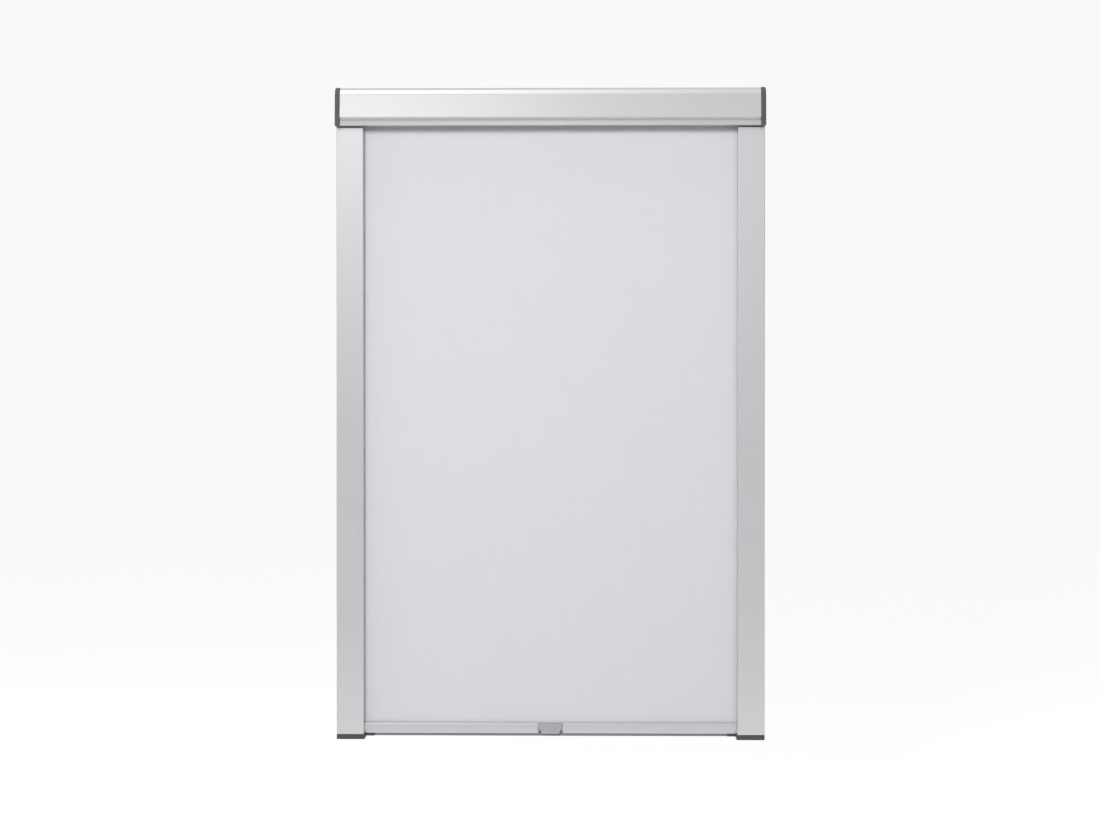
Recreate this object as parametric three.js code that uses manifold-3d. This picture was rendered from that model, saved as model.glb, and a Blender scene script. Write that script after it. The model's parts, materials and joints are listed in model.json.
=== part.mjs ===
// Roller blind for a roof window, drawn fully down.
//
// All sizes are in millimetres. X runs across the blind, the room is on the -Y side and Z points up.
// The origin lies on the flat back of the head casing, on the centre line and at its mid-height.
// Sections are drawn with a depth, which grows from the back towards the room, so depth is -Y.

import * as THREE from "three";
import { mergeVertices } from "three/addons/utils/BufferGeometryUtils.js";
import Module from "manifold-3d";

const wasm = await Module();
wasm.setup();

// Overall sizes

const blindWidth = 613;
const blindHeight = 930;

// Fits

const fitGap = 0.3;
const runGap = 0.4;
const overrun = 2;
const weldGap = 0.001;

// Head casing

const casingHeight = 54;
const casingWall = 1.4;
const casingTopReach = 10.6;
const shoulderReach = 4;
const shoulderDrop = 3;
const facetReach = 4;
const facetDrop = 6.5;
const faceLean = 3.5;
const browRise = 12;
const browUndercut = 4.2;
const creaseRise = 8.2;
const lipSetback = 0.3;
const skirtBulge = 0.4;
const casingCornerRadius = 2;
const browRadius = 0.5;
const exitFrontGap = 10.7;
const exitBackGap = 4.3;
const exitLipRise = 4;

const slotTopDrop = 6;
const slotHeight = 18;
const slotDepth = 3.4;
const slotMouthInset = 2.5;

const portBore = 3.6;
const portWall = 1.45;
const portSink = 0.3;
const portSlit = 1.6;
const upperPortSetback = 1;
const lowerPortSetback = 8.2;

// End caps and their screws

const capPlate = 7;
const capOverhang = 0.7;
const capDrop = 1.2;
const capEdgeRadius = 2.2;
const socketRadius = 8;
const socketLength = 10;
const socketFloor = 2.5;
const spigotLength = 6;
const spigotThickness = 2;
const upperSpigotInset = 2;
const upperSpigotWidth = 18;
const lowerSpigotInset = 2;
const lowerSpigotWidth = 9;
const railTongueThickness = 3.8;
const railTongueLength = 12;
const railTongueInset = 1.5;

const screwDiameter = 3;
const screwHeadDiameter = 5;
const screwHeadHeight = 1.6;
const screwHeadSink = 0.4;
const screwReach = 9;
const screwTip = 1.2;
const driveSlotWidth = 0.8;
const driveSlotLength = 3.4;
const driveSlotDepth = 0.9;

// Brackets

const bracketLength = 40;
const bracketHoleDiameter = 4.2;
const bracketInset = 106.5;

// Roller

const tubeDiameter = 24;
const tubeWall = 1.2;
const rollerRise = 2;
const rollerEndFloat = 1.2;
const flangeThickness = 1.5;
const plugLength = 16;
const kederDiameter = 2.4;
const kederPocketWall = 1;
const kederSlit = 1.2;

// Cloth

const clothThickness = 0.4;
const clothSideGap = 1.3;
const restTurns = 2.25;
const turnGap = 0.45;

// Spring drive

const arborDiameter = 6;
const arborFlat = 2;
const anchorLength = 18;
const anchorFlange = 3;
const anchorFlangeRadius = 7.2;
const anchorGap = 1.5;
const wireDiameter = 1.2;
const springDiameter = 12;
const springPitch = 4;
const springCurls = 30;
const springSeat = 12;
const springPlugLength = 24;
const idlePinDiameter = 5;

// Side rails

const railSetback = 0.5;
const railWidth = 39;
const railDepth = 28;
const railWall = 1.4;
const railMouth = 14.2;
const railCornerRadius = 1.5;
const railHoleDiameter = 4.5;
const railHoleInset = 90;
const railHoles = 3;

// Rail caps

const railCapHeight = 7;
const railCapFloor = 1.5;
const railCapOverhang = 1.1;
const railCapEdge = 0.8;
const prongLength = 12;
const lipProngWidth = 11;

// Bottom bar

const barLift = 7.1;
const barHeight = 15;
const barDepth = 9;
const barWall = 1.2;
const barSlotInset = 3.1;
const barEdgeRadius = 2.4;
const sealGrooveWidth = 4;
const sealGrooveHeight = 1.8;
const sealMouth = 2;
const sealDrop = 3.7;
const sealWidth = 3;

// Slide shoes

const shoeHeight = 22;
const shoeCornerRadius = 2;
const shoeTongueLength = 22;
const shoeFootLength = 27;
const brakePocketWidth = 13;
const brakePocketHeight = 14;
const brakePocketDepth = 6;
const brakePadThickness = 4;
const leafThickness = 0.5;

// Grip

const gripTopWidth = 34;
const gripFootWidth = 25;
const gripProud = 1;
const gripLipReach = 3.5;
const gripDrop = 1.4;
const gripTopDrop = 1.6;
const gripRootWidth = 24;
const gripNotchGap = 0.5;

// Facet counts

const filletSteps = 4;
const skirtSteps = 6;
const roundSides = 32;
const smallRoundSides = 24;
const tinyRoundSides = 12;
const rollStepsPerTurn = 24;
const coilStepsPerCurl = 8;
const wireSides = 5;
const leafSteps = 8;
const gripSteps = 8;

// Places worked out from the sizes above

const halfWidth = blindWidth / 2;
const casingTop = casingHeight / 2;
const casingFoot = -casingTop;
const capInner = halfWidth - capPlate;
const casingEnd = capInner - fitGap;
const capFoot = casingFoot - capDrop;

const railOuter = halfWidth - railSetback;
const railInner = railOuter - railWidth;
const webInner = railOuter - railWall;
const railTop = capFoot - fitGap;
const railCapFoot = casingTop - blindHeight;
const railCapTop = railCapFoot + railCapHeight;
const railFoot = railCapTop + fitGap;
const lipBack = railWall + railMouth;
const channelFront = railDepth - railWall;

const prongOuter = webInner - fitGap;
const prongInner = prongOuter - railTongueThickness;
const lipProngInner = railInner + railWall + fitGap;
const lipProngOuter = lipProngInner + lipProngWidth;
const shoeOuter = prongInner - runGap;
const shoeInner = lipProngOuter + runGap;
const shoeFoot = railCapFoot + railCapFloor + fitGap;
const shoeFront = channelFront - runGap;
const shoeBack = railWall + runGap;

const barFront = lipBack - runGap;
const barBack = barFront - barDepth;
const barFoot = railCapFoot + barLift;
const barTop = barFoot + barHeight;
const barEnd = shoeInner - fitGap;
const barMiddle = (barFront + barBack) / 2;
const sealFoot = barFoot - sealDrop;
const sealGrooveTop = barFoot + barWall + sealGrooveHeight;
const footInner = shoeInner - shoeFootLength;

const clothDepth = barBack + barSlotInset;
const clothEnd = barEnd - clothSideGap;
const tubeRadius = tubeDiameter / 2;
const turnPitch = clothThickness + turnGap;
const rollInner = tubeRadius + fitGap;
const rollOuter = rollInner + clothThickness + turnPitch * restTurns;
const rollerDepth = clothDepth + clothThickness / 2 + fitGap + rollOuter;
const tubeEnd = capInner - socketLength - rollerEndFloat - flangeThickness - fitGap;
const kederRadius = kederDiameter / 2;
const pocketRadius = kederRadius + fitGap;
const pocketWallRadius = pocketRadius + kederPocketWall;
const tubePocketRadius = tubeRadius - fitGap - pocketRadius;
const tubePocketAngle = Math.PI - 2 * Math.PI * restTurns;
const barPocketHeight = barTop - barWall - pocketRadius;

const casingTopDepth = rollerDepth + casingTopReach;
const shoulderDepth = casingTopDepth + shoulderReach;
const facetDepth = shoulderDepth + facetReach;
const browDepth = facetDepth + faceLean;
const casingLipDepth = browDepth - lipSetback;
const creaseDepth = browDepth - browUndercut;
const slotTop = casingTop - slotTopDrop;
const slotFoot = slotTop - slotHeight;
const slotWebDepth = casingWall + slotDepth + casingWall;

// Materials

const finish = (colour, roughness, metalness) =>
  new THREE.MeshStandardMaterial({ color: colour, roughness, metalness });

const anodisedAluminium = finish(0xd6d6d9, 0.38, 0.85);
const darkPlastic = finish(0x59595c, 0.55, 0);
const gripPlastic = finish(0xafacb1, 0.5, 0);
const whiteCloth = finish(0xdcdbe1, 0.9, 0);
const brightSteel = finish(0xb6b7ba, 0.32, 1);
const springSteel = finish(0x8e8f93, 0.4, 1);
const naturalPlastic = finish(0xd9d7cf, 0.5, 0);
const kederPlastic = finish(0xc9c9cc, 0.6, 0);
const sealRubber = finish(0x6f6e72, 0.75, 0);
const brakeRubber = finish(0x2e2e30, 0.85, 0);

// Solids: joining and cutting

function solid(geometry) {
  const bare = geometry.clone();
  bare.deleteAttribute("normal");
  bare.deleteAttribute("uv");
  const merged = mergeVertices(bare, weldGap);
  const corners = merged.index.array;
  const triVerts = [];
  for (let i = 0; i < corners.length; i += 3) {
    const [a, b, c] = corners.slice(i, i + 3);
    if (a !== b && b !== c && c !== a) triVerts.push(a, b, c);
  }
  return new wasm.Manifold(
    new wasm.Mesh({
      numProp: 3,
      vertProperties: merged.attributes.position.array,
      triVerts: Uint32Array.from(triVerts),
    }),
  );
}

const join = (first, ...others) => others.reduce((whole, part) => whole.add(part), first);
const cut = (first, ...others) => others.reduce((whole, part) => whole.subtract(part), first);

function piece(name, body, material) {
  const { vertProperties, triVerts } = body.getMesh();
  const indexed = new THREE.BufferGeometry();
  indexed.setAttribute("position", new THREE.BufferAttribute(vertProperties, 3));
  indexed.setIndex(new THREE.BufferAttribute(triVerts, 1));
  const faceted = indexed.toNonIndexed();
  faceted.computeVertexNormals();
  const mesh = new THREE.Mesh(faceted, material);
  mesh.name = name;
  return mesh;
}

// Sections: paths in a plane

// A path whose corners are rounded; each corner is [across, up, radius].
function roundedPath(corners, closed = false) {
  const count = corners.length;
  return corners.flatMap(([across, up, radius = 0], i) => {
    const corner = new THREE.Vector2(across, up);
    const atEnd = !closed && (i === 0 || i === count - 1);
    if (!radius || atEnd) return [corner];
    const [beforeX, beforeY] = corners[(i + count - 1) % count];
    const [afterX, afterY] = corners[(i + 1) % count];
    const back = new THREE.Vector2(beforeX, beforeY).sub(corner).normalize();
    const ahead = new THREE.Vector2(afterX, afterY).sub(corner).normalize();
    const halfAngle = Math.acos(back.dot(ahead)) / 2;
    const setback = radius / Math.tan(halfAngle);
    const bisector = back.clone().add(ahead).normalize();
    const centre = corner.clone().addScaledVector(bisector, radius / Math.sin(halfAngle));
    const first = corner.clone().addScaledVector(back, setback).sub(centre).angle();
    const last = corner.clone().addScaledVector(ahead, setback).sub(centre).angle();
    const turn = Math.atan2(Math.sin(last - first), Math.cos(last - first));
    return Array.from({ length: filletSteps + 1 }, (_, step) => {
      const angle = first + (turn * step) / filletSteps;
      return new THREE.Vector2(Math.cos(angle), Math.sin(angle)).multiplyScalar(radius).add(centre);
    });
  });
}

// The path moved to the left of its own direction, with mitred corners.
function offsetPath(path, distance, closed = false) {
  const count = path.length;
  return path.map((point, i) => {
    const before = path[closed ? (i + count - 1) % count : Math.max(i - 1, 0)];
    const after = path[closed ? (i + 1) % count : Math.min(i + 1, count - 1)];
    const into = point.clone().sub(before).normalize();
    const out = after.clone().sub(point).normalize();
    if (into.lengthSq() === 0) into.copy(out);
    if (out.lengthSq() === 0) out.copy(into);
    const mitre = new THREE.Vector2(-into.y - out.y, into.x + out.x).normalize();
    const reach = distance / (mitre.y * out.x - mitre.x * out.y);
    return point.clone().addScaledVector(mitre, reach);
  });
}

// A wall of even thickness whose outer face follows the path.
function wallSection(path, thickness) {
  return new THREE.Shape([...path, ...offsetPath(path, thickness).reverse()]);
}

// A circle with an optional flat at a given distance above its centre.
function roundSection(radius, sides, flat = radius) {
  const start = Math.PI - Math.asin(flat / radius);
  const sweep = 2 * Math.PI - 2 * Math.acos(flat / radius);
  const points = Array.from({ length: sides + 1 }, (_, step) => {
    const angle = start + (sweep * step) / sides;
    return new THREE.Vector2(radius * Math.cos(angle), radius * Math.sin(angle));
  });
  return new THREE.Shape(flat < radius ? points : points.slice(0, sides));
}

// Solids: extrusions, boxes and rods

// Turns a section of [depth, height] so that its extrusion runs along -X.
const sectionAcross = new THREE.Matrix4().makeBasis(
  new THREE.Vector3(0, -1, 0),
  new THREE.Vector3(0, 0, 1),
  new THREE.Vector3(-1, 0, 0),
);

// Section of [depth, height], extruded along the width from one X to another.
function alongX(section, [from, to], [depth, height] = [0, 0]) {
  const geometry = new THREE.ExtrudeGeometry(section, { depth: to - from, bevelEnabled: false });
  return solid(geometry.applyMatrix4(sectionAcross).translate(to, -depth, height));
}

// Section of [x, depth], extruded upwards from one height to another.
function alongZ(section, from, to) {
  const geometry = new THREE.ExtrudeGeometry(section, { depth: to - from, bevelEnabled: false });
  const turned = new THREE.Matrix4().makeBasis(
    new THREE.Vector3(1, 0, 0),
    new THREE.Vector3(0, -1, 0),
    new THREE.Vector3(0, 0, -1),
  );
  return solid(geometry.applyMatrix4(turned).translate(0, 0, to));
}

function box([xFrom, xTo], [depthFrom, depthTo], [zFrom, zTo]) {
  const geometry = new THREE.BoxGeometry(xTo - xFrom, depthTo - depthFrom, zTo - zFrom);
  return solid(geometry.translate((xFrom + xTo) / 2, -(depthFrom + depthTo) / 2, (zFrom + zTo) / 2));
}

// Round bar along X, centred at a depth and height.
function rod(radius, [from, to], [depth, height] = [0, 0], sides = smallRoundSides) {
  const geometry = new THREE.CylinderGeometry(radius, radius, to - from, sides);
  return solid(geometry.rotateZ(-Math.PI / 2).translate((from + to) / 2, -depth, height));
}

// Wire wound into curls round the X axis, with square ends.
function coil(meanRadius, wireRadius, pitch, curls, start) {
  const rings = curls * coilStepsPerCurl + 1;
  const slope = Math.atan(pitch / (2 * Math.PI * meanRadius));
  const positions = [];
  for (let ring = 0; ring < rings; ring++) {
    const angle = (2 * Math.PI * ring) / coilStepsPerCurl;
    const middle = start + (pitch * ring) / coilStepsPerCurl;
    for (let side = 0; side < wireSides; side++) {
      const turn = (2 * Math.PI * side) / wireSides;
      const outwards = wireRadius * Math.cos(turn);
      const sideways = wireRadius * Math.sin(turn);
      const radius = meanRadius + outwards;
      const lag = -sideways * Math.sin(slope);
      positions.push(
        middle + sideways * Math.cos(slope),
        radius * Math.cos(angle) - lag * Math.sin(angle),
        radius * Math.sin(angle) + lag * Math.cos(angle),
      );
    }
  }
  const index = [];
  for (let ring = 0; ring + 1 < rings; ring++) {
    for (let side = 0; side < wireSides; side++) {
      const here = ring * wireSides + side;
      const beside = ring * wireSides + ((side + 1) % wireSides);
      index.push(here, here + wireSides, beside, beside, here + wireSides, beside + wireSides);
    }
  }
  const lastRing = (rings - 1) * wireSides;
  for (let side = 1; side + 1 < wireSides; side++) {
    index.push(0, side, side + 1, lastRing, lastRing + side + 1, lastRing + side);
  }
  const geometry = new THREE.BufferGeometry();
  geometry.setAttribute("position", new THREE.Float32BufferAttribute(positions, 3));
  geometry.setIndex(index);
  return solid(geometry);
}

// Head casing: an extruded shell, open below for the cloth, with a T-slot and two screw ports

// The skirt below the brow's crease: it leans forward to the lip and bulges a little.
function skirtPath() {
  const foot = new THREE.Vector2(casingLipDepth, casingFoot);
  const head = new THREE.Vector2(creaseDepth, casingFoot + creaseRise);
  const outwards = new THREE.Vector2(1, 0).multiplyScalar(skirtBulge);
  return Array.from({ length: skirtSteps + 1 }, (_, step) => {
    const share = step / skirtSteps;
    const bow = 4 * share * (1 - share);
    return foot.clone().lerp(head, share).addScaledVector(outwards, bow);
  });
}

const facetToTop = [
  [facetDepth, casingTop - shoulderDrop - facetDrop, casingCornerRadius],
  [shoulderDepth, casingTop - shoulderDrop, casingCornerRadius],
  [casingTopDepth, casingTop, casingCornerRadius],
  [0, casingTop],
];

function casingFrontPath() {
  const browToTop = roundedPath([
    [creaseDepth, casingFoot + creaseRise],
    [browDepth, casingFoot + browRise, browRadius],
    ...facetToTop,
  ]);
  return [...skirtPath(), ...browToTop.slice(1)];
}

function portCentres() {
  const reach = portBore / 2 + portWall - portSink;
  return [
    [casingTopDepth - upperPortSetback, casingTop - casingWall - reach],
    [casingLipDepth - lowerPortSetback, casingFoot + casingWall + reach],
  ];
}

function casing() {
  const exitFront = clothDepth + exitFrontGap;
  const exitBack = clothDepth - exitBackGap;
  const shell = wallSection(
    [
      new THREE.Vector2(exitFront, casingFoot + exitLipRise),
      new THREE.Vector2(exitFront, casingFoot),
      ...casingFrontPath(),
      new THREE.Vector2(0, casingFoot),
      new THREE.Vector2(exitBack, casingFoot),
    ],
    casingWall,
  );
  const span = [-casingEnd, casingEnd];
  const slotWalls = box(span, [0, slotWebDepth], [slotFoot - casingWall, slotTop + casingWall]);
  const cutSpan = [-casingEnd - overrun, casingEnd + overrun];
  const slotRoom = box(cutSpan, [casingWall, casingWall + slotDepth], [slotFoot, slotTop]);
  const slotMouth = box(
    cutSpan,
    [-overrun, casingWall + slotDepth],
    [slotFoot + slotMouthInset, slotTop - slotMouthInset],
  );
  const ports = portCentres().map((centre) => rod(portBore / 2 + portWall, span, centre));
  const bores = portCentres().map((centre) => rod(portBore / 2, cutSpan, centre));
  const slits = portCentres().map(([depth, height]) =>
    box(cutSpan, [depth - portBore / 2 - portWall - overrun, depth], [
      height - portSlit / 2,
      height + portSlit / 2,
    ]),
  );
  const shellWithParts = join(alongX(shell, span), slotWalls, ...ports);
  return cut(shellWithParts, slotRoom, slotMouth, ...bores, ...slits);
}

// End caps: moulded plates with a socket for the roller, spigots for the casing and a rail tongue

// The plate goes straight past the casing's crease, and stands out all round but at the back.
function capOutline() {
  const outline = roundedPath([
    [0, capFoot + capOverhang],
    [browDepth, capFoot + capOverhang, capEdgeRadius],
    ...facetToTop,
  ]);
  const grown = offsetPath(outline, -capOverhang, true);
  return grown.map(({ x, y }) => new THREE.Vector2(Math.max(x, 0), y));
}

// Plate with its outer edges rounded: the inner half of a plate that is rounded on both faces
// is cut away.
function roundedPlate(outline, thickness, radius) {
  const geometry = new THREE.ExtrudeGeometry(new THREE.Shape(outline), {
    depth: 2 * (thickness - radius),
    bevelThickness: radius,
    bevelSize: radius,
    bevelOffset: -radius,
    bevelSegments: filletSteps,
  });
  const middle = halfWidth - thickness;
  const whole = solid(geometry.applyMatrix4(sectionAcross).translate(halfWidth - radius, 0, 0));
  const spare = box(
    [middle - thickness - overrun, middle],
    [-overrun, browDepth + overrun],
    [capFoot - overrun, casingTop + overrun],
  );
  return cut(whole, spare);
}

function endCap(socketBore) {
  const axis = [rollerDepth, rollerRise];
  const plate = roundedPlate(capOutline(), capPlate, capEdgeRadius);
  const socket = rod(socketRadius, [capInner - socketLength, capInner + overrun], axis, roundSides);
  const innerTop = casingTop - casingWall - fitGap;
  const innerFoot = casingFoot + casingWall + fitGap;
  const spigotFrom = capInner - spigotLength;
  const upperDepth = slotWebDepth + upperSpigotInset;
  const upperSpigot = box(
    [spigotFrom, capInner + overrun],
    [upperDepth, upperDepth + upperSpigotWidth],
    [innerTop - spigotThickness, innerTop],
  );
  const lowerDepth = clothDepth + exitFrontGap + casingWall + lowerSpigotInset;
  const lowerSpigot = box(
    [spigotFrom, capInner + overrun],
    [lowerDepth, lowerDepth + lowerSpigotWidth],
    [innerFoot, innerFoot + spigotThickness],
  );
  const railTongue = box(
    [prongInner, prongOuter],
    [shoeBack + railTongueInset, shoeFront - railTongueInset],
    [capFoot - railTongueLength, capFoot + overrun],
  );
  const screwHoles = portCentres().flatMap((centre) => [
    rod(screwDiameter / 2 + fitGap, [capInner - overrun, halfWidth + overrun], centre),
    screwHeadRoom(centre),
  ]);
  return cut(join(plate, socket, upperSpigot, lowerSpigot, railTongue), socketBore, ...screwHoles);
}

const socketSpan = [capInner - socketLength - overrun, halfWidth - socketFloor];

// The left cap holds the arbor by its flat, so the arbor can't turn.
function arborSocket() {
  const section = roundSection(arborDiameter / 2 + fitGap, smallRoundSides, arborFlat + fitGap);
  return alongX(section, socketSpan, [rollerDepth, rollerRise]);
}

function pinSocket() {
  return rod(idlePinDiameter / 2 + fitGap, socketSpan, [rollerDepth, rollerRise]);
}

// End cap screws: countersunk, a little below the cap's outer face

// Profile of [radius, x], revolved round an axis along X.
function revolvedAlongX(profile, [depth, height] = [0, 0]) {
  const points = profile.map(([radius, along]) => new THREE.Vector2(radius, along));
  const geometry = new THREE.LatheGeometry(points, smallRoundSides);
  return solid(geometry.rotateZ(-Math.PI / 2).translate(0, -depth, height));
}

function screwHeadRoom(centre) {
  const radius = screwHeadDiameter / 2 + fitGap;
  const rim = halfWidth - screwHeadSink;
  const foot = rim - screwHeadHeight - fitGap;
  const profile = [
    [0, foot],
    [screwDiameter / 2 + fitGap, foot],
    [radius, rim - fitGap],
    [radius, halfWidth + overrun],
    [0, halfWidth + overrun],
  ];
  return revolvedAlongX(profile, centre);
}

function capScrew() {
  const rim = halfWidth - screwHeadSink;
  const tip = capInner - screwReach;
  const profile = [
    [0, tip],
    [screwDiameter / 2 - screwTip / 2, tip],
    [screwDiameter / 2, tip + screwTip],
    [screwDiameter / 2, rim - screwHeadHeight],
    [screwHeadDiameter / 2, rim],
    [0, rim],
  ];
  const slotSpan = [rim - driveSlotDepth, rim + overrun];
  const across = [-driveSlotLength / 2, driveSlotLength / 2];
  const narrow = [-driveSlotWidth / 2, driveSlotWidth / 2];
  return cut(
    revolvedAlongX(profile),
    box(slotSpan, across, narrow),
    box(slotSpan, narrow, across),
  );
}

// Brackets: T-shaped clips that the casing's slot slides over

function bracket() {
  const half = bracketLength / 2;
  const head = box(
    [-half, half],
    [casingWall + fitGap, casingWall + slotDepth - fitGap],
    [slotFoot + fitGap, slotTop - fitGap],
  );
  const web = box(
    [-half, half],
    [0, casingWall + slotDepth - fitGap],
    [slotFoot + slotMouthInset + fitGap, slotTop - slotMouthInset - fitGap],
  );
  const hole = new THREE.CylinderGeometry(
    bracketHoleDiameter / 2,
    bracketHoleDiameter / 2,
    slotDepth * 2 + casingWall * 2 + overrun * 2,
    smallRoundSides,
  );
  return cut(join(head, web), solid(hole.translate(0, 0, (slotFoot + slotTop) / 2)));
}

// Roller: drawn round its own axis, which runs along X

function rollerTube() {
  const span = [-tubeEnd, tubeEnd];
  const cutSpan = [-tubeEnd - overrun, tubeEnd + overrun];
  const boreRadius = tubeRadius - tubeWall;
  const pocketCentre = aroundRoller(tubePocketRadius, tubePocketAngle);
  const pocketWall = rod(pocketWallRadius, cutSpan, pocketCentre);
  const bore = cut(rod(boreRadius, cutSpan, [0, 0], roundSides), pocketWall);
  const pocket = rod(pocketRadius, cutSpan, pocketCentre);
  return cut(rod(tubeRadius, span, [0, 0], roundSides), bore, pocket, tubeSlit(cutSpan));
}

const aroundRoller = (radius, angle) => [radius * Math.cos(angle), radius * Math.sin(angle)];

// Slit from the keder pocket out through the tube's surface.
function tubeSlit([from, to]) {
  const geometry = new THREE.BoxGeometry(to - from, kederSlit, tubeRadius + overrun - tubePocketRadius);
  geometry.translate((from + to) / 2, 0, (tubeRadius + overrun + tubePocketRadius) / 2);
  return solid(geometry.rotateX(tubePocketAngle - Math.PI / 2));
}

// Plug that fills the tube's bore and is keyed to it by the keder pocket.
function tubePlug(from, to, boreRadius) {
  const radius = tubeRadius - tubeWall - fitGap;
  const cutSpan = [from - overrun, to + overrun];
  const pocketCentre = aroundRoller(tubePocketRadius, tubePocketAngle);
  return cut(
    rod(radius, [from, to], [0, 0], roundSides),
    rod(pocketWallRadius + fitGap, cutSpan, pocketCentre),
    rod(boreRadius, cutSpan),
  );
}

// Plug with an outer flange that covers the tube's end, drawn for the right end.
function flangedPlug(boreRadius) {
  const flange = [tubeEnd + fitGap, tubeEnd + fitGap + flangeThickness];
  const collar = tubePlug(tubeEnd - plugLength, tubeEnd + fitGap + fitGap, boreRadius);
  const rim = cut(
    rod(tubeRadius - fitGap, flange, [0, 0], roundSides),
    rod(boreRadius, [tubeEnd, flange[1] + overrun]),
  );
  return join(collar, rim);
}

function rollerKeder() {
  const centre = aroundRoller(tubePocketRadius, tubePocketAngle);
  return rod(kederRadius, [-clothEnd, clothEnd], centre, tinyRoundSides);
}

// The turns of cloth that stay on the tube, a spiral that ends where the cloth drops at the back.
function fabricRoll() {
  const steps = Math.round(restTurns * rollStepsPerTurn);
  const outerPath = Array.from({ length: steps + 1 }, (_, step) => {
    const share = step / steps;
    const angle = tubePocketAngle + 2 * Math.PI * restTurns * share;
    const radius = rollInner + clothThickness + turnPitch * restTurns * share;
    return new THREE.Vector2(...aroundRoller(radius, angle));
  });
  console.log("fabric_roll least gap between turns, mm:", leastTurnGap(outerPath).toFixed(3));
  return alongX(wallSection(outerPath, clothThickness), [-clothEnd, clothEnd]);
}

// Least distance between one turn's outer face and the next turn's inner face.
function leastTurnGap(outerPath) {
  const innerPath = offsetPath(outerPath, clothThickness);
  let least = Infinity;
  outerPath.forEach((outer, i) => {
    const nextTurn = innerPath.slice(i + Math.round(rollStepsPerTurn / 2));
    for (let k = 0; k + 1 < nextTurn.length; k++) {
      const edge = nextTurn[k + 1].clone().sub(nextTurn[k]);
      const along = outer.clone().sub(nextTurn[k]).dot(edge) / edge.lengthSq();
      const nearest = nextTurn[k].clone().addScaledVector(edge, Math.min(Math.max(along, 0), 1));
      least = Math.min(least, nearest.distanceTo(outer));
    }
  });
  return least;
}

// Spring drive, at the left end of the roller

const arborBore = arborDiameter / 2 + runGap;
const coilInner = (springDiameter / 2) * Math.cos(Math.PI / coilStepsPerCurl) - wireDiameter / 2;
const coilSeatRadius = coilInner - fitGap;
const arborStart = -(halfWidth - socketFloor - fitGap);
const anchorStart = -tubeEnd + plugLength + anchorGap;
const springStart = anchorStart + anchorFlange + wireDiameter / 2 + fitGap;
const springEnd = springStart + springPitch * springCurls;
const springPlugStart = springEnd + wireDiameter / 2 + fitGap;

function springArbor() {
  const radius = arborDiameter / 2;
  const flatEnd = anchorStart + anchorLength + fitGap;
  const flatted = alongX(roundSection(radius, smallRoundSides, arborFlat), [arborStart, flatEnd]);
  const shaftEnd = springPlugStart + springPlugLength - fitGap;
  return join(flatted, rod(radius, [flatEnd - fitGap, shaftEnd]));
}

function springAnchor() {
  const flange = rod(anchorFlangeRadius, [anchorStart, anchorStart + anchorFlange]);
  const seat = rod(coilSeatRadius, [anchorStart, anchorStart + anchorLength]);
  const section = roundSection(arborDiameter / 2 + fitGap, smallRoundSides, arborFlat + fitGap);
  const bore = alongX(section, [anchorStart - overrun, anchorStart + anchorLength + overrun]);
  return cut(join(flange, seat), bore);
}

function torsionSpring() {
  console.log("torsion_spring gap between curls, mm:", (springPitch - wireDiameter).toFixed(3));
  return coil(springDiameter / 2, wireDiameter / 2, springPitch, springCurls, springStart);
}

function springPlug() {
  const body = tubePlug(springPlugStart, springPlugStart + springPlugLength, arborBore);
  const seatStart = springPlugStart - springSeat;
  const seat = rod(coilSeatRadius, [seatStart, springPlugStart + overrun]);
  const bore = rod(arborBore, [seatStart - overrun, springPlugStart + overrun * 2]);
  return join(body, cut(seat, bore));
}

function idlePin() {
  return rod(idlePinDiameter / 2, [tubeEnd - plugLength + fitGap, halfWidth - socketFloor - fitGap]);
}

// Cloth: the flat length from the roll down into the bar

function fabricPanel() {
  const foot = barPocketHeight + kederRadius + fitGap;
  const face = [clothDepth - clothThickness / 2, clothDepth + clothThickness / 2];
  return box([-clothEnd, clothEnd], face, [foot, rollerRise]);
}

// Side rails: lipped channels, drawn for the right side

function sideRail() {
  const path = roundedPath([
    [railInner, 0],
    [railOuter, 0, railCornerRadius],
    [railOuter, railDepth, railCornerRadius],
    [railInner, railDepth, railCornerRadius],
    [railInner, lipBack],
  ]);
  const channel = alongZ(wallSection(path, railWall), railFoot, railTop);
  const highest = railTop - railHoleInset;
  const spacing = (highest - railFoot - railHoleInset) / (railHoles - 1);
  const throughWeb = [webInner - overrun, railOuter + overrun];
  const holes = Array.from({ length: railHoles }, (_, i) =>
    rod(railHoleDiameter / 2, throughWeb, [railDepth / 2, highest - i * spacing]),
  );
  return cut(channel, ...holes);
}

// Rail caps: trays that catch the shoe and plug into the rail's foot

function railCap() {
  const outline = roundedPath(
    [
      [railInner - railCapOverhang, 0, railCapEdge],
      [railOuter, 0, railCapEdge],
      [railOuter, railDepth, railCapEdge],
      [railInner - railCapOverhang, railDepth, railCapEdge],
    ],
    true,
  );
  const block = alongZ(new THREE.Shape(outline), railCapFoot, railCapTop);
  const room = [railCapFoot + railCapFloor, railCapTop + overrun];
  const shoeRoom = box(
    [shoeInner - runGap, shoeOuter + runGap],
    [shoeBack - runGap, shoeFront + runGap],
    room,
  );
  const barRoom = box(
    [railInner - railCapOverhang - overrun, shoeInner],
    [barBack - runGap, barFront + runGap],
    room,
  );
  const prongTop = railCapTop + prongLength;
  const webProng = box(
    [prongInner, prongOuter],
    [shoeBack + railTongueInset, shoeFront - railTongueInset],
    [railCapTop - overrun, prongTop],
  );
  const lipProng = box(
    [lipProngInner, lipProngOuter],
    [lipBack + fitGap, channelFront - fitGap],
    [railCapTop - overrun, prongTop],
  );
  return join(cut(block, shoeRoom, barRoom), webProng, lipProng);
}

// Bottom bar: a hollow extrusion with a keder slot above, a seal groove below and the grip's notch

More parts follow.
